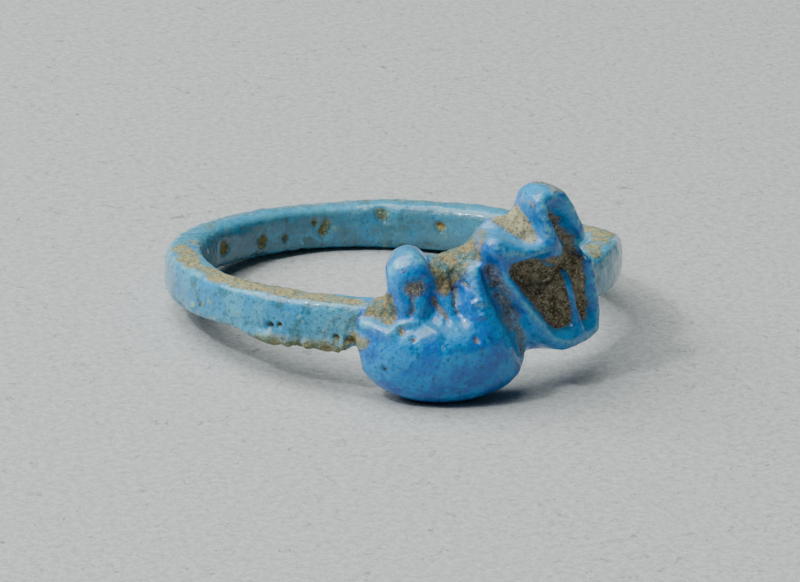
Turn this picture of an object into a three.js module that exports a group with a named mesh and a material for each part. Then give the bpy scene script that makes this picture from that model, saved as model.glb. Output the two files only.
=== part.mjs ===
// A small ancient finger ring of blue faience: a hand-rolled band with a moulded amulet as its bezel,
// lying on a table as such a ring lies when it is loose. Band and bezel were stuck together with wet
// paste and fired as one, so the ring is a single solid.
//
// Units are millimetres and +Z is up. The form is first worked out round the ring's own axis, where a
// point has u, the arc length along the face of the bezel from its middle, v, the height over the
// band's middle, and w, the distance outside the band's outer face. It is then leaned back on its two
// feet, the bezel's belly in front (-Y) and the band behind (+Y), and the feet are worn flat.
import * as THREE from "three";

// Band
const bandOuterRadius = 10.25;
const bandThickness = 1.7;
const bandHeight = 2.15;
const bandEdgeRadius = 0.5;
const bandWaver = 0.06; // how far the hand-rolled section strays from its mean size
// The band is a little out of round: widest and narrowest radius differ by twice this.
const bandOvality = 0.12;
const ovalityDirection = 1.15; // radians from the middle of the bezel
// To the right of the bezel the band climbs a little, over this much of the ring.
const bandLift = 1.1;
const liftDirection = 0.9;
const liftSpread = 0.6;

// Bezel plate behind the relief
const plateBack = 0.2; // how far the plate's back stands outside the band's inner face
const plateFace = -0.15; // height of the sunk ground between the ridges over the band's face
const plateRim = 0.5; // thickness of the plate at its very edge
const rimSlope = 5; // how fast the plate thickens inwards from its edge
const saddleSlope = 1.25; // the same along the saddle, where the edge is worn down to a slope
const faceRise = 0.95; // how far outside the band's face u is measured
const ridgeRoot = 0.8; // how far a ridge goes down below its axis
const softness = 0.3; // how far neighbouring forms run into each other

// Belly: the big smooth lump at the lower left, on which the ring stands
const belly = { u: -2.38, v: -0.95, w: -0.2, halfLength: 4.35, drop: 2.52, rise: 1.4, bulge: 1.75 };
const bellySquareness = 2.2;

// Resting
const footWear = 0.07; // depth of the flat worn on each foot

// Mesh
const fineStep = 0.315; // across the section and along the bezel
const bandStepDegrees = 6; // along the plain band
const fieldMargin = 0.7; // empty space round the form in the sampled field

const bandInnerRadius = bandOuterRadius - bandThickness;
const faceArcRadius = bandOuterRadius + faceRise;
const bandMiddle = -bandThickness / 2;
const plateBottom = -bandThickness + plateBack;

// Back edge of the plate between the knob and the peak, [u, v], where it is worn down to a slope
const saddle = [
  [-3.3, 2.9],
  [-2.55, 3.1],
  [-1.5, 3.35],
  [-0.95, 3.6],
  [-0.45, 4.05],
  [0.1, 4.55],
  [1.4, 4.65],
  [2.0, 4.95],
];
// The rest of the plate's outline as seen from the front, on from the saddle, clockwise
const outline = [
  ...saddle,
  [2.2, 5.6],
  [2.7, 5.9],
  [3.9, 5.85],
  [4.7, 5.3],
  [5.2, 4.4],
  [5.7, 3.3],
  [6.0, 2.3],
  [6.3, 0.8],
  [6.45, -0.9],
  [6.1, -1.35],
  [4.6, -1.65],
  [3.0, -1.7],
  [1.8, -1.6],
  [1.0, -2.3],
  [-0.5, -2.9],
  [-2.7, -3.1],
  [-4.7, -2.7],
  [-5.9, -2.0],
  [-6.3, -1.2],
  [-6.1, -0.1],
  [-5.5, 0.6],
  [-5.3, 1.6],
  [-5.0, 2.5],
  [-4.1, 2.9],
];

// A thick lobe that stands up from the plate's edge: from and to are [u, v]
const peak = { from: [2.95, 4.75], to: [3.4, 3.2], radius: 1.0, front: 0.4 };

// Rounded ridges of the relief, each a run of [u, v, w, radius]
const ridges = {
  knob: [
    [-4.27, 2.25, -0.25, 1.18],
    [-4.1, 0.9, -0.05, 0.9],
  ],
  knobFoot: [
    [-2.9, 1.9, -0.5, 0.6],
    [-2.4, 0.7, 0.0, 0.75],
  ],
  shoulder: [
    [-1.15, 2.35, 0.15, 0.42],
    [-1.1, 1.4, 0.35, 0.62],
    [-0.9, 0.5, 0.35, 0.85],
    [-0.7, -0.3, 0.25, 1.1],
  ],
  arm: [
    [-0.25, 3.5, 0.42, 0.6],
    [0.5, 3.25, 0.55, 0.5],
    [1.2, 3.16, 0.62, 0.36],
    [1.95, 3.25, 0.65, 0.32],
    [2.75, 3.45, 0.65, 0.34],
  ],
  peakRidge: [
    [2.05, 5.3, 0.5, 0.4],
    [2.4, 4.3, 0.66, 0.34],
    [2.75, 3.45, 0.65, 0.36],
  ],
  peakFlank: [
    [2.6, 5.6, 0.3, 0.4],
    [3.45, 5.3, 0.32, 0.45],
    [4.0, 4.55, 0.38, 0.43],
    [4.65, 3.6, 0.38, 0.38],
    [5.05, 3.05, 0.35, 0.32],
  ],
  diagonal: [
    [-0.25, 3.2, 0.42, 0.52],
    [0.12, 2.15, 0.55, 0.44],
    [1.05, 1.0, 0.55, 0.43],
    [2.0, -0.05, 0.52, 0.45],
    [2.8, -0.85, 0.46, 0.47],
    [3.9, -1.15, 0.4, 0.48],
    [5.4, -1.05, 0.3, 0.43],
    [5.9, -0.9, 0.25, 0.4],
  ],
  rightEdge: [
    [5.45, 2.3, 0.3, 0.32],
    [5.85, 1.05, 0.3, 0.34],
    [6.1, -0.1, 0.28, 0.36],
    [6.05, -0.85, 0.25, 0.4],
  ],
  innerRib: [
    [3.8, 1.7, 0.0, 0.2],
    [4.15, 0.9, 0.22, 0.26],
    [4.55, 0.0, 0.3, 0.27],
    [4.8, -0.8, 0.32, 0.28],
  ],
  lip: [
    [-6.15, 0.0, 0.15, 0.37],
    [-5.6, -0.1, 0.48, 0.37],
    [-5.0, -0.3, 0.7, 0.4],
  ],
};

// Hollows pressed into the face, each a run of [u, v, w, radius]
const hollows = {
  knobDimple: [
    [-4.0, 2.0, 1.05, 0.34],
    [-3.95, 1.6, 1.1, 0.36],
  ],
  underKnob: [
    [-6.1, 1.05, 0.6, 0.42],
    [-5.3, 0.8, 0.95, 0.4],
  ],
  bodyGroove: [
    [-0.5, 2.75, 0.7, 0.22],
    [-0.15, 1.6, 0.65, 0.24],
    [0.4, 0.45, 0.65, 0.27],
    [0.95, -0.65, 0.7, 0.3],
    [1.38, -1.5, 0.8, 0.34],
  ],
  peakGroove: [
    [2.7, 4.9, 0.6, 0.24],
    [3.4, 4.15, 0.4, 0.32],
    [4.1, 3.4, 0.25, 0.36],
    [4.75, 2.7, 0.2, 0.38],
  ],
  recess: [
    [1.7, 2.3, -0.1, 0.35],
    [2.6, 1.5, 0.2, 0.7],
    [3.1, 0.3, 0.0, 0.45],
  ],
  edgeNotch: [
    [4.9, 2.8, 0.65, 0.3],
    [5.8, 2.7, 0.55, 0.35],
  ],
};

// Smooth minimum: the two forms run together over the distance k.
function blend(a, b, k) {
  const share = Math.max(k - Math.abs(a - b), 0) / k;
  return Math.min(a, b) - (share * share * k) / 4;
}

// Smooth maximum, for cutting.
const cut = (a, b, k) => -blend(-a, -b, k);

// Distance from a point in the plane to the line from a to b.
function lineDistance([au, av], [bu, bv], u, v) {
  const [eu, ev] = [bu - au, bv - av];
  const along = THREE.MathUtils.clamp(((u - au) * eu + (v - av) * ev) / (eu * eu + ev * ev), 0, 1);
  return Math.hypot(u - au - along * eu, v - av - along * ev);
}

const pathDistance = (points, u, v) =>
  Math.min(...points.slice(1).map((point, i) => lineDistance(points[i], point, u, v)));

// Signed distance to a closed outline in the plane, below zero inside.
function outlineDistance(points, u, v) {
  const closed = [...points, points[0]];
  let inside = false;
  points.forEach(([au, av], i) => {
    const [bu, bv] = closed[i + 1];
    if (av > v !== bv > v && u < au + ((bu - au) * (v - av)) / (bv - av)) inside = !inside;
  });
  return (inside ? -1 : 1) * pathDistance(closed, u, v);
}

// Distance to a run of stations [u, v, w, radius]. Its section is a circle drawn out along w, from
// below the run's axis by the first depth to above it by the second.
function runDistance(stations, u, v, w, below, above) {
  let nearest = Infinity;
  for (let i = 1; i < stations.length; i++) {
    const [au, av, aw, ar] = stations[i - 1];
    const [bu, bv, bw, br] = stations[i];
    const [eu, ev] = [bu - au, bv - av];
    const along = THREE.MathUtils.clamp(((u - au) * eu + (v - av) * ev) / (eu * eu + ev * ev), 0, 1);
    const height = w - aw - along * (bw - aw);
    const beyond = Math.max(height - above, -height - below, 0);
    const gap = Math.hypot(u - au - along * eu, v - av - along * ev, beyond);
    nearest = Math.min(nearest, gap - ar - along * (br - ar));
  }
  return nearest;
}

// A ridge is rooted in the plate, and a hollow is open to the outside.
const ridgeDistance = (stations, u, v, w) => runDistance(stations, u, v, w, ridgeRoot, 0);
const hollowDistance = (stations, u, v, w) => runDistance(stations, u, v, w, 0, Infinity);

// The band's rounded section, wavering a little round the ring.
function bandDistance(angle, v, w) {
  const stray = bandWaver * (Math.sin(3 * angle + 0.8) + 0.6 * Math.sin(7 * angle + 2.1));
  const across = Math.abs(w - bandMiddle) - (bandThickness + stray) / 2 + bandEdgeRadius;
  const lift = bandLift * Math.exp(-(((angle - liftDirection) / liftSpread) ** 2));
  const upward = Math.abs(v - lift) - (bandHeight + stray) / 2 + bandEdgeRadius;
  const outside = Math.hypot(Math.max(across, 0), Math.max(upward, 0));
  return outside + Math.min(Math.max(across, upward), 0) - bandEdgeRadius;
}

// The plate: its outline, its flat back and a face that rises from a thin rim to the sunk ground.
function plateDistance(u, v, w) {
  const edge = outlineDistance(outline, u, v);
  const rim = plateBottom + plateRim - rimSlope * edge;
  const slope = plateBottom + plateRim + saddleSlope * pathDistance(saddle, u, v);
  const top = Math.min(rim, slope, plateFace);
  const steepness = Math.hypot(1, top === plateFace ? 0 : top === rim ? rimSlope : saddleSlope);
  const face = (w - top) / steepness;
  return cut(cut(edge, face, softness), plateBottom - w, softness);
}

// The peak: a flat-faced block with a rounded head, as thick as the plate is deep.
function peakDistance(u, v, w) {
  const { from, to, radius, front } = peak;
  const flat = lineDistance(from, to, u, v) - radius;
  const middle = (front + plateBottom) / 2;
  return cut(flat, Math.abs(w - middle) - (front - plateBottom) / 2, 2 * softness);
}

function bellyDistance(u, v, w) {
  const height = v < belly.v ? belly.drop : belly.rise;
  const shares = [(u - belly.u) / belly.halfLength, (v - belly.v) / height, (w - belly.w) / belly.bulge];
  const sum = shares.reduce((total, share) => total + Math.abs(share) ** bellySquareness, 0);
  return (sum ** (1 / bellySquareness) - 1) * Math.min(height, belly.bulge);
}

// The whole ring as one field, below zero inside.
function ringField(angle, radius, v) {
  const w = radius - bandOuterRadius - bandOvality * Math.cos(2 * (angle - ovalityDirection));
  const u = angle * faceArcRadius;
  const band = bandDistance(angle, v, w);
  if (Math.abs(angle) > bezelReach) return band;
  let bezel = blend(plateDistance(u, v, w), bellyDistance(u, v, w), softness);
  bezel = blend(bezel, peakDistance(u, v, w), softness);
  for (const ridge of Object.values(ridges)) bezel = blend(bezel, ridgeDistance(ridge, u, v, w), softness);
  bezel = cut(bezel, plateBottom - w, softness);
  for (const hollow of Object.values(hollows)) bezel = cut(bezel, -hollowDistance(hollow, u, v, w), softness);
  return blend(band, bezel, softness);
}

const reachLeft = Math.min(...outline.map(([u]) => u), belly.u - belly.halfLength) - fieldMargin;
const reachRight = Math.max(...outline.map(([u]) => u), belly.u + belly.halfLength) + fieldMargin;
const bezelReach = Math.max(-reachLeft, reachRight) / faceArcRadius;

// Even steps from a to b, both included, no longer than the step asked for.
function steps(a, b, step) {
  const count = Math.ceil((b - a) / step);
  return Array.from({ length: count + 1 }, (_, i) => a + ((b - a) * i) / count);
}

// Turns the field into a closed mesh. Each cell of the sampled field that the surface passes through
// gets one vertex, at the mean of its edge crossings, and each crossed grid edge gets one quad.
function ringSurface() {
  const fineAngle = fineStep / faceArcRadius;
  const fine = steps(reachLeft / faceArcRadius, reachRight / faceArcRadius, fineAngle);
  const coarse = steps(fine.at(-1), fine[0] + 2 * Math.PI, THREE.MathUtils.degToRad(bandStepDegrees));
  const angles = [...fine, ...coarse.slice(1, -1)];
  const ridgeTops = Object.values(ridges).flat().map(([, , w, r]) => w + r);
  const faceReach = Math.max(belly.w + belly.bulge, ...ridgeTops);
  const radii = steps(
    bandInnerRadius - bandOvality - fieldMargin,
    bandOuterRadius + bandOvality + faceReach + fieldMargin,
    fineStep,
  );
  const lowest = Math.min(belly.v - belly.drop, ...outline.map(([, v]) => v)) - fieldMargin;
  const highest = Math.max(...outline.map(([, v]) => v)) + fieldMargin;
  const heights = steps(lowest, highest, fineStep);
  const [na, nr, nh] = [angles.length, radii.length, heights.length];
  const wrap = (angle) => THREE.MathUtils.euclideanModulo(angle + Math.PI, 2 * Math.PI) - Math.PI;
  const at = (i, j, k) => ((i % na) * nr + j) * nh + k;
  const values = new Float64Array(na * nr * nh);
  for (let i = 0; i < na; i++)
    for (let j = 0; j < nr; j++)
      for (let k = 0; k < nh; k++) values[at(i, j, k)] = ringField(wrap(angles[i]), radii[j], heights[k]);

  // Where the surface would touch itself across a face of the grid, the shallower gap is filled.
  const axes = [[1, 0, 0], [0, 1, 0], [0, 0, 1]];
  let pinched = true;
  while (pinched) {
    pinched = false;
    for (let i = 0; i < na; i++)
      for (let j = 0; j < nr - 1; j++)
        for (let k = 0; k < nh - 1; k++)
          axes.forEach((p, axis) => {
            const q = axes[(axis + 1) % 3];
            const square = [[0, 0], [1, 0], [1, 1], [0, 1]].map(([a, b]) =>
              at(i + a * p[0] + b * q[0], j + a * p[1] + b * q[1], k + a * p[2] + b * q[2]),
            );
            const [a, b, c, d] = square.map((corner) => values[corner] < 0);
            if (a !== c || b !== d || a === b) return;
            const gaps = square.filter((corner) => values[corner] >= 0);
            const shallower = values[gaps[0]] < values[gaps[1]] ? gaps[0] : gaps[1];
            values[shallower] = -1e-3;
            pinched = true;
          });
  }

  const node = (i, j, k) => {
    const angle = i < na ? angles[i] : angles[i - na] + 2 * Math.PI;
    return new THREE.Vector3(Math.sin(angle) * radii[j], -Math.cos(angle) * radii[j], heights[k]);
  };
  const corners = [0, 1, 2, 3, 4, 5, 6, 7].map((c) => [c & 1, (c >> 1) & 1, (c >> 2) & 1]);
  const adjoining = (a, b) => a.filter((value, axis) => value !== b[axis]).length === 1;
  const edges = corners.flatMap((a, n) =>
    corners.slice(n + 1).filter((b) => adjoining(a, b)).map((b) => [a, b]),
  );
  const positions = [];
  const vertexOf = new Map();
  for (let i = 0; i < na; i++)
    for (let j = 0; j < nr - 1; j++)
      for (let k = 0; k < nh - 1; k++) {
        const sum = new THREE.Vector3();
        let crossings = 0;
        for (const [a, b] of edges) {
          const before = values[at(i + a[0], j + a[1], k + a[2])];
          const after = values[at(i + b[0], j + b[1], k + b[2])];
          if (before < 0 === after < 0) continue;
          const start = node(i + a[0], j + a[1], k + a[2]);
          sum.add(start.lerp(node(i + b[0], j + b[1], k + b[2]), before / (before - after)));
          crossings++;
        }
        if (!crossings) continue;
        vertexOf.set(at(i, j, k), positions.length / 3);
        positions.push(...sum.divideScalar(crossings).toArray());
      }

  const indices = [];
  for (let i = 0; i < na; i++)
    for (let j = 1; j < nr - 1; j++)
      for (let k = 1; k < nh - 1; k++)
        axes.forEach(([di, dj, dk], axis) => {
          const before = values[at(i, j, k)] < 0;
          const after = values[at(i + di, j + dj, k + dk)] < 0;
          if (before === after) return;
          const [p, q] = [axes[(axis + 1) % 3], axes[(axis + 2) % 3]];
          const around = [[0, 0], [1, 0], [1, 1], [0, 1]].map(([a, b]) =>
            vertexOf.get(at(i - a * p[0] - b * q[0] + na, j - a * p[1] - b * q[1], k - a * p[2] - b * q[2])),
          );
          const [a, b, c, d] = before ? around.reverse() : around;
          indices.push(a, b, c, a, c, d);
        });
  const surface = new THREE.BufferGeometry();
  surface.setAttribute("position", new THREE.Float32BufferAttribute(positions, 3));
  surface.setIndex(indices);
  return surface;
}

// Leans the ring back until the belly and the far side of the band touch the table.
function leanOnFeet(surface) {
  const bellyAngle = belly.u / faceArcRadius;
  const reach = bandOuterRadius + belly.w + bandOuterRadius - bandEdgeRadius;
  const lean = Math.atan2(belly.drop - belly.v - bandHeight / 2, reach);
  const hinge = new THREE.Vector3(Math.cos(bellyAngle), Math.sin(bellyAngle), 0);
  surface.applyMatrix4(new THREE.Matrix4().makeRotationAxis(hinge, -lean));
}

// Wears the feet flat and puts the origin on the table, under the middle of the ring's box.
function standOnTable(surface) {
  surface.computeBoundingBox();
  const table = surface.boundingBox.min.z + footWear;
  const position = surface.attributes.position;
  for (let i = 0; i < position.count; i++) position.setZ(i, Math.max(position.getZ(i), table));
  surface.computeBoundingBox();
  const middle = surface.boundingBox.getCenter(new THREE.Vector3());
  surface.translate(-middle.x, -middle.y, -table);
}

const faience = new THREE.MeshStandardMaterial({
  name: "faience",
  color: 0x2f86c4,
  roughness: 0.35,
  metalness: 0,
});

function ring() {
  const surface = ringSurface();
  leanOnFeet(surface);
  standOnTable(surface);
  surface.computeVertexNormals();
  const mesh = new THREE.Mesh(surface, faience);
  mesh.name = "ring";
  return mesh;
}

const part = new THREE.Group();
part.add(ring());

export default part;
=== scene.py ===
"""Looks of the ancient blue faience finger ring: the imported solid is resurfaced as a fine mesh, and its
carving, chips, pits and worn glaze are worked into that mesh round the ring's own axis.

Scene units are metres. The carving is laid out in millimetres, in the ring's own coordinates: an angle
round the ring from the middle of the bezel, a radius, and a height over the band's middle.
"""
import math

import bpy
import numpy as np
from mathutils import Matrix, Vector, noise


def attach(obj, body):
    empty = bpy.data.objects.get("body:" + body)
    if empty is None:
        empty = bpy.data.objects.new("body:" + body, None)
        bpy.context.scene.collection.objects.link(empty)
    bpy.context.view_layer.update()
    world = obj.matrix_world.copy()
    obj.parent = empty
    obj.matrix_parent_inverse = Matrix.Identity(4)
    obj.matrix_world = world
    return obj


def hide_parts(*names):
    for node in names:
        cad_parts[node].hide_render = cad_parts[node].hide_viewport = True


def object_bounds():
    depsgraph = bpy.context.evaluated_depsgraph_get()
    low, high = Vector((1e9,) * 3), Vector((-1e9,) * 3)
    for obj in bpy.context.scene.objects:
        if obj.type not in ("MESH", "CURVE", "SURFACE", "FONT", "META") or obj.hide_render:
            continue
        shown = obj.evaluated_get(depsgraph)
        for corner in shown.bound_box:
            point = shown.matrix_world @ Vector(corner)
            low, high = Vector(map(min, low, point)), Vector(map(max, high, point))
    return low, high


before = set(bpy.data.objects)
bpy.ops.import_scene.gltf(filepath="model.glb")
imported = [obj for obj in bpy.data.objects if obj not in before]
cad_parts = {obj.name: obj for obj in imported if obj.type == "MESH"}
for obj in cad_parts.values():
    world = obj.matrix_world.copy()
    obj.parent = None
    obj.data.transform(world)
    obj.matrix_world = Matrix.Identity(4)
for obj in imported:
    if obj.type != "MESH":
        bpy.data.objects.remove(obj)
cad_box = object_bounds()

MM = 0.001

# How the ring leans on the table: its own axis turns about HINGE by LEAN (radians), and its centre is at
# CENTRE (mm)
LEAN = 0.12037
HINGE = Vector((0.97751, -0.21090, 0.0))
CENTRE = Vector((0.010, 0.778, 2.187))
BAND_OUTER_RADIUS = 10.25
BAND_INNER_RADIUS = 8.55
BAND_HALF_HEIGHT = 1.075
FACE_ARC_RADIUS = 11.2  # radius at which the bezel's u coordinate is measured

VOXEL = 0.092  # spacing of the fine mesh, mm
SMOOTHING_ROUNDS = 14
BOX_MARGIN = 0.01  # how far inside the CAD's box every point stays, mm


# Fine mesh


def resurfaced(node):
    """A copy of the CAD node's mesh as evenly spaced quads, in millimetres, with its facets smoothed away."""
    piece = bpy.data.objects.new("faience_ring", node.data.copy())
    bpy.context.scene.collection.objects.link(piece)
    piece.data.transform(Matrix.Scale(1 / MM, 4))
    remesh = piece.modifiers.new("even_mesh", "REMESH")
    remesh.mode = "VOXEL"
    remesh.voxel_size = VOXEL
    remesh.use_smooth_shade = True
    smooth = piece.modifiers.new("no_facets", "SMOOTH")
    smooth.factor = 0.5
    smooth.iterations = SMOOTHING_ROUNDS
    depsgraph = bpy.context.evaluated_depsgraph_get()
    fine = bpy.data.meshes.new_from_object(piece.evaluated_get(depsgraph))
    piece.modifiers.clear()
    piece.data = fine
    return piece


def vertex_vectors(mesh, name):
    """The places ("co") or the normals ("normal") of a mesh's vertices, one row each."""
    values = np.empty(len(mesh.vertices) * 3)
    mesh.vertices.foreach_get(name, values)
    return values.reshape(-1, 3)


class RingCoordinates:
    """Where each point lies round the ring, and which way the surface faces there.

    angle is in degrees from the middle of the bezel, positive to the right of it. radius and height are in mm
    from the ring's axis and from the band's middle. On the bezel, u runs along its face and w out from the
    band's face, both in mm. out and up say how far the surface faces outwards and upwards, -1 to 1.
    """

    def __init__(self, points, normals):
        upright = np.array(Matrix.Rotation(LEAN, 3, HINGE)).T
        x, y, self.height = ((points - np.array(CENTRE)) @ upright).T
        facing = normals @ upright
        turn = np.arctan2(x, -y)
        self.angle = np.degrees(turn)
        self.radius = np.hypot(x, y)
        self.u = turn * FACE_ARC_RADIUS
        self.w = self.radius - BAND_OUTER_RADIUS
        self.out = facing[:, 0] * np.sin(turn) - facing[:, 1] * np.cos(turn)
        self.up = facing[:, 2]


class Relief:
    """How far each point is moved outwards (mm), how chipped it is, and its share of each kind of dirt."""

    def __init__(self, count):
        self.move, self.chips, self.dark, self.earth, self.dust = np.zeros((5, count))

    def soil(self, **shares):
        """Lays dirt on the points. Where it lies already, the larger share of its kind counts."""
        for kind, share in shares.items():
            setattr(self, kind, np.maximum(getattr(self, kind), share))


def step(low, high, value):
    """0 below low, 1 above high, and a smooth ramp between."""
    share = np.clip((value - low) / (high - low), 0, 1)
    return share * share * (3 - 2 * share)


def plateau(rise, fall, value):
    """1 between two smooth ramps, of which rise and fall give the ends, and 0 outside them."""
    return step(*rise, value) * (1 - step(*fall, value))


def crest(gap, half_width):
    """A ridge's or groove's rounded profile: 1 along its line, and little left beyond its half width."""
    return np.exp(-((gap / half_width) ** 2))


def bowl(gap, radius):
    """A pit's profile: 1 in the middle, 0 from a little outside its radius on."""
    return 1 - step(0.35 * radius, 1.25 * radius, gap)


def turbulence(points, size, octaves, seed):
    """Smooth noise between about -1 and 1 whose largest features are size mm across."""
    shift = Vector((seed * 7.3, seed * 3.1, seed * 5.7))
    return np.array([noise.fractal(Vector(p) / size + shift, 1.0, 2.0, octaves) for p in points])


def path_distance(u, v, path):
    """Distance from each point to a run of (u, v) stations, and how far along the run it is, 0 to 1."""
    path = np.array(path, float)
    lengths = np.hypot(*np.diff(path, axis=0).T)
    starts = np.concatenate([[0], np.cumsum(lengths)]) / lengths.sum()
    nearest = np.full(len(u), np.inf)
    along = np.zeros(len(u))
    for i, (a, b) in enumerate(zip(path[:-1], path[1:])):
        edge = b - a
        share = np.clip(((u - a[0]) * edge[0] + (v - a[1]) * edge[1]) / (edge @ edge), 0, 1)
        gap = np.hypot(u - a[0] - share * edge[0], v - a[1] - share * edge[1])
        closer = gap < nearest
        nearest = np.where(closer, gap, nearest)
        along = np.where(closer, starts[i] + share * (starts[i + 1] - starts[i]), along)
    return nearest, along


def inside_depth(u, v, corners):
    """How deep each point lies inside a closed (u, v) outline; below zero outside."""
    corners = np.array(corners, float)
    closed = np.vstack([corners, corners[:1]])
    gap, _ = path_distance(u, v, closed)
    within = np.zeros(len(u), bool)
    for a, b in zip(closed[:-1], closed[1:]):
        crosses = (a[1] > v) != (b[1] > v)
        with np.errstate(divide="ignore", invalid="ignore"):
            at = a[0] + (b[0] - a[0]) * (v - a[1]) / (b[1] - a[1])
        within ^= crosses & (u < at)
    return np.where(within, gap, -gap)


def band_gap(ring, angle, height, arc_radius):
    """Distance along the band's face, which has this radius, from the place at an angle and height."""
    turn = (ring.angle - angle + 180) % 360 - 180
    return np.hypot(np.radians(turn) * arc_radius, ring.height - height)


# Fine relief on the bezel, in (u, v) mm, where v is the height

WOBBLE = 0.1  # how far hand-drawn lines and outlines wander, mm

# Grooves cut deeper: path, half width, depth, share of dark dirt
GROOVES = [
    ([(-0.45, 2.6), (-0.03, 1.9), (0.3, 1.3), (0.75, 0.4), (1.15, -0.4), (1.5, -1.35)], 0.42, 0.12, 0.55),
    ([(2.75, 4.85), (3.4, 4.2), (3.85, 3.75), (4.45, 3.25), (5.1, 2.6)], 0.2, 0.2, 0.9),
    ([(-4.05, 1.4), (-4.0, 1.05), (-4.2, 0.7)], 0.17, 0.14, 0.6),
    ([(-3.0, 1.3), (-2.87, 0.9), (-2.6, 0.5)], 0.2, 0.2, 0.7),
    ([(-1.9, 1.7), (-2.05, 1.15), (-1.95, 0.75)], 0.13, 0.16, 0.55),
    ([(-2.05, 2.35), (-2.0, 1.75)], 0.15, 0.14, 0.5),
]
GROOVE_EARTH = 0.6  # share of ochre earth in every groove
# Ridges raised: path, half width, height
RIDGES = [
    ([(-6.4, 0.12), (-6.0, 0.15), (-5.5, 0.0), (-5.1, -0.1)], 0.2, 0.12),
    ([(-4.85, 0.1), (-4.4, 0.34), (-3.85, 0.38), (-3.35, 0.13), (-3.0, -0.08)], 0.17, 0.14),
    ([(-0.84, 1.2), (-1.1, 1.32), (-1.4, 1.15), (-1.47, 0.85), (-1.25, 0.6), (-0.95, 0.68)], 0.1, 0.1),
]
# The thin rib standing in the sunk triangle
RIB = [(4.0, 1.85), (4.12, 1.3), (4.35, 0.6), (4.6, -0.1), (4.8, -0.6)]
RIB_HALF_WIDTH = 0.15
RIB_HEIGHT = 0.3  # at its upper end
RIB_FALL = 0.7  # share of that height lost by its lower end
# Pits: u, v, radius, depth
PITS = [
    (-4.55, 0.0, 0.2, 0.14),
    (-4.1, -0.25, 0.15, 0.12),
    (-1.32, -0.38, 0.14, 0.14),
    (-5.31, -1.65, 0.13, 0.14),
    (-1.18, -0.82, 0.07, 0.06),
    (-1.6, 1.9, 0.13, 0.12),
    (-0.14, 1.69, 0.14, 0.12),
    (-2.83, -0.55, 0.08, 0.05),
    (-4.55, 2.7, 0.12, 0.04),
    (-2.45, 1.95, 0.2, 0.12),
]
PIT_DIRT = 0.9
# The rough hollow worn into the knob: middle u, v and half sizes
KNOB_HOLLOW = (-3.98, 1.84, 0.72, 0.5)
KNOB_HOLLOW_DEPTH = 0.16
KNOB_HOLLOW_DIRT = 0.85

# Where dirt has settled: outline, share of ochre earth, share of dark dirt, the height w that it reaches,
# and share of pale dust
DIRT = [
    # The sunk triangle
    ([(0.4, 2.7), (1.6, 2.6), (2.9, 2.8), (3.6, 3.0), (4.1, 3.3), (4.7, 2.7), (5.3, 2.5), (5.5, 1.5),
      (5.8, 0.3), (5.8, -0.6), (4.9, -0.6), (3.6, -0.85), (3.0, -0.2), (2.2, 0.6), (1.3, 1.4)],
     0.8, 1.0, 0.4, 0),
    # The hollow left of the peak, and its browner part
    ([(0.4, 4.35), (1.3, 4.85), (1.7, 5.5), (2.0, 5.0), (2.15, 4.3), (2.15, 3.75), (1.7, 3.5), (1.25, 3.7),
      (0.8, 4.0)], 1.0, 0.2, 0.55, 0.85),
    ([(0.3, 4.3), (1.0, 4.9), (1.5, 4.7), (1.35, 4.1), (0.9, 3.9)], 0.9, 0.55, 0.55, 0.1),
    # The saddle between the knob and the peak
    ([(-3.3, 2.8), (-2.6, 3.2), (-1.4, 3.6), (-0.8, 4.0), (-0.2, 4.7), (0.3, 4.7), (-0.2, 4.1), (-0.75, 3.5),
      (-0.7, 3.0), (-1.25, 2.65), (-1.65, 2.0), (-2.0, 1.5), (-2.55, 1.35), (-3.0, 1.6)], 0.9, 0.25, 0.4, 0),
    # Left of the knob, over the wavy lip
    ([(-6.3, 0.9), (-5.6, 1.5), (-5.05, 1.6), (-4.8, 1.0), (-4.7, 0.4), (-5.1, 0.1), (-5.7, 0.3),
      (-6.5, 0.4)], 0.95, 0.15, 0.5, 0),
    # The band's face just left of the bezel
    ([(-8.8, -1.1), (-8.5, -0.1), (-7.7, 0.6), (-7.0, 1.2), (-6.5, 0.6), (-6.6, -1.1)], 0.42, 0.3, 0.4, 0),
    # The top of the peak
    ([(2.5, 5.75), (2.9, 6.4), (4.0, 6.4), (4.3, 5.7), (3.5, 5.5)], 0.7, 0.25, 2.0, 0.3),
    # The corner under the wavy lip, where the band meets the bezel
    ([(-7.1, -1.0), (-7.1, -0.3), (-6.2, -0.3), (-5.85, -0.5), (-6.3, -1.0)], 0.9, 0.0, 0.8, 0.3),
]

# Crests worn pale, and along some of them, as on the peak's ridge, painted highlight streaks in the same pale
# colour: path, half width
WORN_AND_HIGHLIT = [
    ([(1.95, 5.6), (2.2, 4.9), (2.35, 4.3), (2.5, 3.6)], 0.32),
    ([(2.7, 5.7), (3.5, 5.4), (4.1, 4.6), (4.8, 3.6), (5.1, 3.0)], 0.2),
    ([(-0.3, 3.5), (0.5, 3.35), (1.3, 3.2), (2.2, 3.35)], 0.2),
    ([(0.1, 2.3), (1.0, 1.1), (2.0, 0.0), (2.9, -0.85), (4.0, -1.2), (5.6, -1.1)], 0.11),
    ([(5.5, 2.2), (5.85, 1.0), (6.05, -0.1), (5.9, -0.9)], 0.13),
    ([(-5.1, 2.6), (-4.5, 3.2), (-3.7, 3.1)], 0.25),
    ([(-6.4, 0.12), (-6.0, 0.15), (-5.5, 0.0), (-5.0, -0.1)], 0.14),
    ([(-4.8, 0.1), (-4.4, 0.34), (-3.85, 0.38)], 0.13),
    ([(-1.2, 2.5), (-1.3, 1.8), (-1.1, 1.0)], 0.15),
]


def bezel_face(ring):
    """1 on the front of the bezel, 0 on its back and on the band."""
    return step(0.1, 0.4, ring.out) * plateau((-6.9, -6.5), (6.6, 7.0), ring.u)


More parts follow.
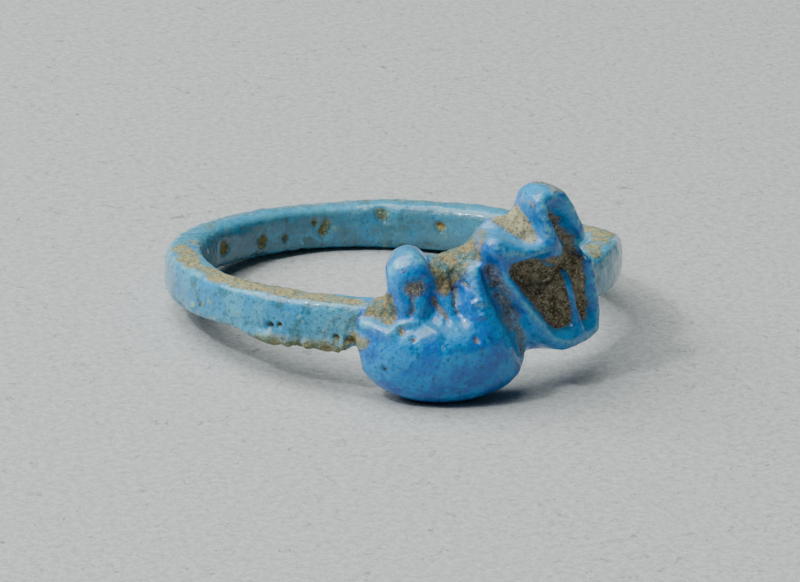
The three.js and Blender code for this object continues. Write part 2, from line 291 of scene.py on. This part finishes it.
def carve_bezel(relief, ring, wobble):
    """Cuts the bezel's grooves, pits and hollow, raises its ridges and rib, and lays its dirt."""
    u, v = ring.u, ring.height
    bezel = bezel_face(ring)

    for path, half_width, depth, brown in GROOVES:
        gap, _ = path_distance(u + wobble, v + wobble, path)
        cutting = crest(gap, half_width) * bezel
        relief.move -= depth * cutting
        relief.soil(dark=brown * cutting, earth=GROOVE_EARTH * cutting)
    for path, half_width, height in RIDGES:
        gap, _ = path_distance(u, v, path)
        relief.move += height * crest(gap, half_width) * bezel
    for pit_u, pit_v, radius, depth in PITS:
        hollow = bowl(np.hypot(u - pit_u + wobble, v - pit_v - wobble), radius) * bezel
        relief.move -= depth * hollow
        relief.soil(dark=PIT_DIRT * hollow)
    middle_u, middle_v, half_u, half_v = KNOB_HOLLOW
    gap = np.hypot((u - middle_u + wobble) / half_u, (v - middle_v + wobble) / half_v)
    hollow = bowl(gap, 1.0) * bezel
    relief.move -= KNOB_HOLLOW_DEPTH * hollow
    relief.soil(dark=KNOB_HOLLOW_DIRT * hollow)

    for corners, ochre, brown, reach, pale in DIRT:
        within = step(-0.28, 0.28, inside_depth(u + wobble, v - wobble, corners))
        low_lying = 1 - step(reach - 0.2, reach + 0.1, ring.w + wobble)
        settled = within * low_lying * step(-0.2, 0.2, ring.out + ring.up)
        relief.soil(earth=ochre * settled, dark=brown * settled, dust=pale * settled)

    # The rib stands clear of the dirt round it
    gap, along = path_distance(u, v, RIB)
    rib = crest(gap, RIB_HALF_WIDTH) * bezel
    relief.move += RIB_HEIGHT * rib * (1 - RIB_FALL * along)
    clean = 1 - step(0.2, 0.65, rib)
    relief.dark *= clean
    relief.earth *= clean


# Fine relief on the band

# Pits on its outer face: angle (degrees), height, radius, depth
OUTER_PITS = [
    (-57.5, -0.42, 0.2, 0.26),
    (-55.0, -0.36, 0.17, 0.2),
    (-82.0, -0.3, 0.18, 0.08),
    (-65.7, -0.15, 0.14, 0.06),
    (-36.0, -0.8, 0.24, 0.2),
    (-39.6, -0.7, 0.16, 0.15),
    (120.0, 0.2, 0.2, 0.16),
    (143.0, -0.25, 0.13, 0.1),
    (171.0, -0.3, 0.16, 0.12),
    (-140.0, 0.3, 0.18, 0.14),
]
OUTER_PIT_DIRT = 0.6
# Pits on its inner face
INNER_PITS = [
    (-141.4, 0.0, 0.4, 0.1),
    (-160.2, -0.2, 0.46, 0.11),
    (-169.0, -0.25, 0.26, 0.07),
    (-179.5, 0.3, 0.34, 0.12),
    (177.0, 0.0, 0.44, 0.1),
    (158.4, 0.6, 0.36, 0.12),
    (140.0, 0.15, 0.34, 0.12),
    (100.0, -0.1, 0.28, 0.12),
    (-95.0, 0.2, 0.28, 0.12),
]
INNER_PIT_DIRT = 0.3
# The burst bubble in the glaze of the inner face: angle, height, radius, and its raised rim
BUBBLE = (-127.5, 0.6, 0.27)
BUBBLE_RIM_HEIGHT = 0.07
BUBBLE_RIM_HALF_WIDTH = 0.08

# Dirt on the flat top: from angle, to angle, strength
TOP_DIRT = [(-128, -27, 1.0), (30, 104, 1.0), (120, 236, 0.5)]
TOP_DIRT_ENDS = 14  # over how many degrees it thins out at each end
TOP_DIRT_DEPTH = 0.03  # how far it lies below the glaze round it

CHIP_DEPTH = 0.12
# The rough ledge that hangs under the lower edge, left of the bezel: from angle, to angle
LEDGE_START = -72
LEDGE_END = -35
LEDGE_DEPTH = 0.4


def carve_band(relief, ring, wobble):
    """Sinks the pits of the band's two faces and raises the rim of the bubble."""
    outer = step(0.5, 0.8, ring.out) * (1 - bezel_face(ring))
    inner = step(0.5, 0.8, -ring.out)
    for pits, face, face_radius, brown in (
        (OUTER_PITS, outer, BAND_OUTER_RADIUS, OUTER_PIT_DIRT),
        (INNER_PITS, inner, BAND_INNER_RADIUS, INNER_PIT_DIRT),
    ):
        for angle, height, radius, depth in pits:
            gap = band_gap(ring, angle, height, face_radius)
            hollow = bowl(gap + 1.6 * wobble, radius) * face
            relief.move -= depth * hollow
            relief.soil(dark=brown * hollow, earth=hollow)
    angle, height, radius = BUBBLE
    gap = band_gap(ring, angle, height, BAND_INNER_RADIUS) - radius
    relief.move += BUBBLE_RIM_HEIGHT * crest(gap, BUBBLE_RIM_HALF_WIDTH) * inner


def weather_band(relief, ring, points):
    """Chips the band's lower edge, hangs the ledge under it and lays dirt along its flat top."""
    by_ledge = plateau((LEDGE_START, LEDGE_START + 14), (LEDGE_END - 3, LEDGE_END), ring.angle)

    lower_edge = step(0.35, 0.95, -ring.height / BAND_HALF_HEIGHT)
    lower_edge *= 1 - step(BAND_OUTER_RADIUS, BAND_OUTER_RADIUS + 0.3, ring.radius)
    # Near the ledge the grey-green chip colour covers more of the lower edge, so the band is darker along its
    # bottom left of the bezel
    relief.chips = step(0.05, 0.5, turbulence(points, 0.9, 3, 2.0) + 0.45 * by_ledge) * lower_edge
    relief.move -= CHIP_DEPTH * relief.chips

    patches = turbulence(points, 1.4, 3, 5.0)
    ragged_radius = ring.radius + 0.5 * turbulence(points, 1.8, 3, 7.0)
    grime = np.zeros(len(points))
    for start, end, strength in TOP_DIRT:
        along = (ring.angle - start) % 360 + 12 * patches
        span = end - start
        grime = np.maximum(
            grime, strength * plateau((0, TOP_DIRT_ENDS), (span - TOP_DIRT_ENDS, span), along),
        )
    on_top = step(0.5, 0.9, ring.up) * plateau((8.75, 9.15), (9.8, 10.35), ragged_radius)
    grime *= on_top * step(-0.75, 0.0, patches + 0.35 * grime)
    relief.move -= TOP_DIRT_DEPTH * grime

    ledge = by_ledge * step(0.2, 0.8, -ring.up) * plateau((8.9, 9.6), (10.3, 10.7), ring.radius)
    ledge *= step(-1.3, -0.1, turbulence(points, 0.8, 3, 6.0))
    relief.move += LEDGE_DEPTH * ledge
    grime = np.maximum(grime, 0.9 * ledge)
    relief.soil(earth=grime, dust=0.35 * grime)


def roughen(relief, points):
    """Makes the hand-made surface uneven, and the earth on it crumbly."""
    relief.move += 0.05 * turbulence(points, 2.4, 2, 3.0) + 0.025 * turbulence(points, 0.6, 3, 4.0)
    relief.move -= 0.06 * relief.earth * step(-0.3, 0.5, turbulence(points, 0.3, 3, 9.0))


def worn_and_highlit_crests(ring, points):
    """How thin the glaze is worn on the bezel's crests and along the band's rounded edges, and where the same
    pale colour is laid as painted highlights.
    """
    bezel = plateau((-7.2, -6.3), (6.2, 6.8), ring.u)
    edge = step(0.72, 1.0, np.abs(ring.height) / BAND_HALF_HEIGHT) * step(0.2, 0.7, ring.out)
    # The band's upper edge gets more than its lower, as the painted highlight along it
    wear_and_highlight = np.where(ring.height > 0, 0.9, 0.4) * edge * (1 - bezel)
    for path, half_width in WORN_AND_HIGHLIT:
        gap, _ = path_distance(ring.u, ring.height, path)
        wear_and_highlight = np.maximum(wear_and_highlight, crest(gap, half_width) * step(0.1, 0.5, ring.out))
    return wear_and_highlight * step(-0.8, 0.2, turbulence(points, 0.5, 3, 8.0))


def finish_surface(piece):
    """Works the relief and weathering into the fine mesh and stores where each kind of dirt and wear lies,
    and where painted light and shade go.
    """
    mesh = piece.data
    points = vertex_vectors(mesh, "co")
    normals = vertex_vectors(mesh, "normal")
    ring = RingCoordinates(points, normals)
    relief = Relief(len(points))
    wobble = WOBBLE * turbulence(points, 0.7, 3, 1.0)
    carve_bezel(relief, ring, wobble)
    carve_band(relief, ring, wobble)
    weather_band(relief, ring, points)
    roughen(relief, points)

    # The flats that the ring stands on stay flat
    off_table = step(0.05, 0.35, points[:, 2])
    moved = points + normals * (relief.move * off_table)[:, None]
    low, high = (np.array(corner) / MM for corner in cad_box)
    kept_in = np.clip(moved, low + BOX_MARGIN, high - BOX_MARGIN)
    mesh.vertices.foreach_set("co", (kept_in * MM).ravel())
    mesh.update()

    masks = {
        "earth": relief.earth,
        "dark": relief.dark,
        "dust": relief.dust,
        "chips": relief.chips,
        "wear_and_highlight": worn_and_highlit_crests(ring, points),
        "bezel": plateau((-7.1, -6.2), (5.8, 7.6), ring.u),
        # Where the material lays its grey film of soil and painted shade
        "inside": step(0.3, 0.8, -ring.out),
        # Where the material lays painted light on faces turned upwards
        "upward": step(0.2, 0.9, ring.up),
    }
    for name, values in masks.items():
        layer = mesh.attributes.new(name, "FLOAT", "POINT")
        layer.data.foreach_set("value", np.clip(values, 0, 1).astype(np.float32))
    mesh.polygons.foreach_set("use_smooth", np.ones(len(mesh.polygons), bool))


# Materials


def srgb(red, green, blue):
    """A colour given as 0-255 screen values, as linear RGBA."""
    screen = [value / 255 for value in (red, green, blue)]
    return tuple(((c + 0.055) / 1.055) ** 2.4 if c > 0.04 else c / 12.92 for c in screen) + (1.0,)


# Glaze on the band: paler and greener
BAND_BLUE = srgb(36, 138, 188)
BAND_LIGHT_BLUE = srgb(70, 156, 190)
BAND_DULL_PATCH = srgb(48, 100, 108)
BAND_PALE_PATCH = srgb(140, 186, 158)
BAND_SPECK = srgb(34, 78, 84)
# Glaze on the bezel: thicker, so deeper blue
BEZEL_BLUE = srgb(0, 146, 220)
BEZEL_DEEP_BLUE = srgb(0, 98, 190)
BEZEL_BRIGHT_PATCH = srgb(0, 150, 210)
BEZEL_DULL_PATCH = srgb(20, 92, 126)
BEZEL_SPECK = srgb(0, 56, 116)
# Glaze everywhere
# Pale specks in the glaze, which also stand as painted glints
GLAZE_SPECK_AND_GLINT = srgb(70, 168, 204)
# Grey film of soil inside the band, darkened further as painted shade
SOIL_FILM_AND_SHADE_INSIDE = srgb(70, 112, 124)
# Painted light on faces turned upwards: a paler, greener blue
PAINTED_LIGHT_ON_TOP = srgb(74, 158, 184)
# The pale paste seen through worn glaze, also used for painted highlights
BAND_PASTE_AND_HIGHLIGHT = srgb(156, 204, 210)
BEZEL_PASTE_AND_HIGHLIGHT = srgb(110, 200, 212)
CHIPPED_PASTE = srgb(92, 98, 76)
# Dirt
OCHRE_EARTH = srgb(142, 124, 48)
GREEN_EARTH = srgb(76, 104, 84)
PALE_DUST = srgb(176, 168, 120)
# Painted shadow: the dark specks between the earth's crumbs
EARTH_CRUMB_SHADOW = srgb(72, 60, 40)
EARTH_GRAIN = srgb(180, 174, 130)
DARK_DIRT = srgb(84, 68, 46)
BUFF_DIRT = srgb(160, 148, 118)
PALE_GRAIN = srgb(208, 202, 174)
# The paper on the table
PAPER = srgb(181, 187, 185)
PAPER_DARKER = srgb(158, 163, 161)
PAPER_SPECK = srgb(134, 138, 137)
PAPER_FIBRE = srgb(96, 98, 98)


class Nodes:
    """Builds a node tree by plain calls: each call adds a node and returns its main output."""

    def __init__(self, material):
        material.use_nodes = True
        self.tree = material.node_tree
        self.shader = self.tree.nodes["Principled BSDF"]
        self.where = self.tree.nodes.new("ShaderNodeTexCoord").outputs["Object"]

    def feed(self, socket, value):
        if isinstance(value, bpy.types.NodeSocket):
            self.tree.links.new(value, socket)
        else:
            socket.default_value = value

    def feed_all(self, node, inputs):
        """Feeds a node's inputs by name, where _ stands for a space."""
        for name, value in inputs.items():
            self.feed(node.inputs[name.replace("_", " ")], value)

    def noise(self, size, detail=3.0, roughness=0.55, distortion=0.0):
        """Noise from 0 to 1 with features about size mm across."""
        node = self.tree.nodes.new("ShaderNodeTexNoise")
        self.feed_all(node, {
            "Vector": self.where, "Scale": 1 / (size * MM), "Detail": detail,
            "Roughness": roughness, "Distortion": distortion,
        })
        return node.outputs[0]

    def mask(self, name):
        """One of the masks that finish_surface stored on the mesh."""
        node = self.tree.nodes.new("ShaderNodeAttribute")
        node.attribute_name = name
        return node.outputs["Fac"]

    def ramp(self, value, low, high, start=0.0, end=1.0):
        """start below low, end above high, and a smooth ramp between."""
        node = self.tree.nodes.new("ShaderNodeMapRange")
        node.interpolation_type = "SMOOTHSTEP"
        for socket, amount in zip(node.inputs, (value, low, high, start, end)):
            self.feed(socket, amount)
        return node.outputs[0]

    def math(self, operation, a, b):
        """A sum stays between 0 and 1. ABSOLUTE takes no notice of b."""
        node = self.tree.nodes.new("ShaderNodeMath")
        node.operation = operation
        node.use_clamp = operation == "ADD"
        self.feed(node.inputs[0], a)
        self.feed(node.inputs[1], b)
        return node.outputs[0]

    def mix(self, factor, a, b):
        """From colour a to colour b. A mix node's colours are its inputs 6 and 7 and its output 2."""
        node = self.tree.nodes.new("ShaderNodeMix")
        node.data_type = "RGBA"
        self.feed(node.inputs["Factor"], factor)
        self.feed(node.inputs[6], a)
        self.feed(node.inputs[7], b)
        return node.outputs[2]

    def mix_value(self, factor, a, b):
        """From number a to number b. A mix node's numbers are its inputs 2 and 3 and its output 0."""
        node = self.tree.nodes.new("ShaderNodeMix")
        self.feed(node.inputs["Factor"], factor)
        self.feed(node.inputs[2], a)
        self.feed(node.inputs[3], b)
        return node.outputs[0]

    def spots(self, base, spot, noise, low, high, share):
        """The base colour with spots of another: none where the noise is low, this share where it is high."""
        return self.mix(self.ramp(noise, low, high, 0, share), base, spot)

    def bump(self, height, strength):
        node = self.tree.nodes.new("ShaderNodeBump")
        self.feed_all(node, {"Height": height, "Strength": strength, "Distance": 0.1 * MM})
        return node.outputs[0]


def glaze_colour(n, cloud, fine):
    """Deep blue where the glaze is thick on the bezel, paler and greener on the band."""
    band = n.mix(n.ramp(cloud, 0.38, 0.62), BAND_BLUE, BAND_LIGHT_BLUE)
    band = n.spots(band, BAND_DULL_PATCH, n.noise(0.9, 4, 0.6), 0.52, 0.66, 0.85)
    band = n.spots(band, BAND_PALE_PATCH, n.noise(0.6, 3, 0.6), 0.6, 0.7, 0.8)
    band = n.spots(band, BAND_SPECK, fine, 0.48, 0.68, 0.8)
    bezel = n.mix(n.ramp(cloud, 0.4, 0.6), BEZEL_BLUE, BEZEL_DEEP_BLUE)
    bezel = n.spots(bezel, BEZEL_BRIGHT_PATCH, n.noise(0.7, 4, 0.6), 0.52, 0.66, 0.7)
    bezel = n.spots(bezel, BEZEL_DULL_PATCH, n.noise(0.45, 4, 0.7), 0.56, 0.68, 0.6)
    bezel = n.spots(bezel, BEZEL_SPECK, fine, 0.48, 0.7, 0.75)
    ragged_edge = n.math("ADD", n.mask("bezel"), n.math("MULTIPLY", n.noise(0.8, 3), 0.5))
    glaze = n.mix(n.ramp(ragged_edge, 0.5, 1.1), band, bezel)
    # Pale specks all over, which also stand as painted glints
    glaze = n.spots(glaze, GLAZE_SPECK_AND_GLINT, n.noise(0.12, 3, 0.6), 0.58, 0.7, 0.35)
    # Inside the band a grey film of soil, which also serves as painted shade there
    tint = n.math("MULTIPLY", n.mask("inside"), n.ramp(n.noise(1.0, 4, 0.6), 0.3, 0.6, 0.2, 0.8))
    glaze = n.mix(tint, glaze, SOIL_FILM_AND_SHADE_INSIDE)
    # Painted light: faces turned upwards are made a paler, greener blue, more so where the cloud noise is
    # high
    tint = n.math("MULTIPLY", n.mask("upward"), n.ramp(cloud, 0.3, 0.7, 0.25, 0.6))
    return n.mix(tint, glaze, PAINTED_LIGHT_ON_TOP)


def earth_colour(n, fine):
    """Ochre to grey-green earth, dusty in places, with pale grains and dark specks painted as the shadows
    between its crumbs.
    """
    earth = n.mix(n.ramp(n.noise(0.6, 3), 0.4, 0.6), OCHRE_EARTH, GREEN_EARTH)
    earth = n.mix(n.mask("dust"), earth, PALE_DUST)
    earth = n.spots(earth, EARTH_CRUMB_SHADOW, fine, 0.48, 0.62, 0.75)
    return n.spots(earth, EARTH_GRAIN, n.noise(0.1, 2, 0.6), 0.57, 0.68, 0.7)


def dark_colour(n):
    """Brown to buff dirt with pale grains."""
    dark = n.mix(n.ramp(n.noise(0.3, 4, 0.75), 0.4, 0.62), DARK_DIRT, BUFF_DIRT)
    return n.spots(dark, PALE_GRAIN, n.noise(0.11, 2, 0.6), 0.52, 0.66, 0.8)


def faience_material():
    material = bpy.data.materials.new("faience_glaze")
    n = Nodes(material)
    cloud = n.noise(1.5, 4)
    fine = n.noise(0.16, 4, 0.7)

    # Glaze, worn thin on the edges, and painted highlights in the same pale colour
    worn_and_highlit = n.math("MULTIPLY", n.mask("wear_and_highlight"), n.ramp(n.noise(0.3, 4, 0.65), 0.35, 0.62, 0, 0.75))
    paste_and_highlight = n.mix(n.mask("bezel"), BAND_PASTE_AND_HIGHLIGHT, BEZEL_PASTE_AND_HIGHLIGHT)
    colour = n.mix(worn_and_highlit, glaze_colour(n, cloud, fine), paste_and_highlight)

    # Dirt, which ends in crumbs: earth on the open faces, dark dirt in the hollows
    crumbs = n.math("ADD", n.math("MULTIPLY", fine, 0.55), n.math("MULTIPLY", n.noise(0.4, 4, 0.65), 0.45))
    earth = n.math("MULTIPLY", n.mask("earth"), n.math("ADD", crumbs, 0.35))
    earth = n.ramp(earth, 0.2, 0.75, 0, 0.9)
    dark = n.math("MULTIPLY", n.mask("dark"), n.math("ADD", crumbs, 0.3))
    dark = n.ramp(dark, 0.18, 0.78, 0, 0.95)
    colour = n.mix(earth, colour, earth_colour(n, fine))
    colour = n.mix(dark, colour, dark_colour(n))
    colour = n.mix(n.ramp(n.mask("chips"), 0.2, 0.8, 0, 0.6), colour, CHIPPED_PASTE)

    # Glossy glaze, matt and grainy dirt
    matt = n.math("ADD", earth, dark)
    gloss = n.ramp(n.noise(0.5, 4, 0.6), 0.35, 0.65, 0.12, 0.34)
    grain = n.math("MULTIPLY", n.math("MULTIPLY", fine, matt), 0.9)
    relief = n.math("ADD", n.math("MULTIPLY", n.noise(0.2, 4, 0.65), 0.5), grain)
    n.feed_all(n.shader, {
        "Base Color": colour,
        "Roughness": n.mix_value(matt, gloss, 0.85),
        "IOR": 1.5,
        "Specular IOR Level": 0.3,
        "Coat Weight": n.ramp(matt, 0, 0.8, 0.5, 0.0),
        "Coat Roughness": 0.05,
        "Normal": n.bump(relief, 0.8),
    })
    return material


def paper_material():
    material = bpy.data.materials.new("pale_table")
    n = Nodes(material)
    pulp = n.noise(0.35, 4, 0.75)
    colour = n.mix(n.ramp(pulp, 0.36, 0.64), PAPER, PAPER_DARKER)
    colour = n.spots(colour, PAPER_SPECK, n.noise(0.12, 2, 0.7), 0.5, 0.68, 0.5)
    # Fibres: thin lines where a winding noise passes its middle value, kept only here and there
    winding = n.math("ABSOLUTE", n.math("SUBTRACT", n.noise(1.6, 3, 0.5, 1.5), 0.5), 0.0)
    lines = n.ramp(winding, 0.0, 0.016, 1.0, 0.0)
    fibres = n.math("MULTIPLY", lines, n.ramp(n.noise(0.9, 2), 0.5, 0.6, 0, 0.65))
    n.feed_all(n.shader, {
        "Base Color": n.mix(fibres, colour, PAPER_FIBRE),
        "Roughness": 0.9,
        "Normal": n.bump(pulp, 0.35),
    })
    return material


# Stage


def area_light(name, place, power, size, target=(0, 0, 0.003)):
    lamp = bpy.data.lights.new(name, "AREA")
    lamp.energy = power
    lamp.size = size
    holder = bpy.data.objects.new(name, lamp)
    holder.location = place
    holder.rotation_euler = (Vector(place) - Vector(target)).to_track_quat("Z", "Y").to_euler()
    bpy.context.scene.collection.objects.link(holder)


def make_stage():
    bpy.ops.mesh.primitive_plane_add(size=2.0)
    floor = bpy.context.object
    floor.name = "table"
    floor.data.materials.append(paper_material())
    area_light("softbox_overhead", place=(-0.22, 0.11, 0.43), power=6.2, size=0.6)
    area_light("small_lamp_from_upper_left", place=(-0.22, -0.04, 0.26), power=0.5, size=0.028)
    world = bpy.data.worlds.new("soft_room")
    bpy.context.scene.world = world
    world.use_nodes = True
    backdrop = world.node_tree.nodes["Background"]
    backdrop.inputs["Color"].default_value = (0.9, 0.95, 1.0, 1.0)
    backdrop.inputs["Strength"].default_value = 0.05


# The camera, seen from the ring's own frame: it stands to the left of the bezel's middle and above it, and is
# rolled a little. The distance is from the ring's centre in mm.
CAMERA_TURN = math.radians(-25.5)
CAMERA_RISE = math.radians(14.06)
CAMERA_ROLL = math.radians(1.154)
CAMERA_DISTANCE = 263.0
LENS_WIDTHS = 7.2545  # focal length in picture widths
RING_OFF_CENTRE = (-0.28, 0.91)  # where the ring's centre appears from the picture's middle, mm right and up


def make_camera():
    lens = bpy.data.cameras.new("camera")
    lens.sensor_width = 36.0
    lens.lens = lens.sensor_width * LENS_WIDTHS
    lens.clip_start = 0.01
    lens.clip_end = 10.0
    back = Vector((
        math.sin(CAMERA_TURN) * math.cos(CAMERA_RISE),
        -math.cos(CAMERA_TURN) * math.cos(CAMERA_RISE),
        math.sin(CAMERA_RISE),
    ))
    level = Vector((math.cos(CAMERA_TURN), math.sin(CAMERA_TURN), 0))
    upright = back.cross(level)
    right = level * math.cos(CAMERA_ROLL) + upright * math.sin(CAMERA_ROLL)
    up = upright * math.cos(CAMERA_ROLL) - level * math.sin(CAMERA_ROLL)
    leaned = Matrix.Rotation(-LEAN, 3, HINGE)
    place = leaned @ (back * CAMERA_DISTANCE - right * RING_OFF_CENTRE[0] - up * RING_OFF_CENTRE[1]) + CENTRE
    turned = leaned @ Matrix((right, up, back)).transposed()
    holder = bpy.data.objects.new("camera", lens)
    holder.matrix_world = Matrix.Translation(place * MM) @ turned.to_4x4()
    bpy.context.scene.collection.objects.link(holder)
    bpy.context.scene.camera = holder


make_camera()
make_stage()
piece = resurfaced(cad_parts["ring"])
finish_surface(piece)
piece.data.materials.clear()
piece.data.materials.append(faience_material())
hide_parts("ring")
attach(piece, "root")
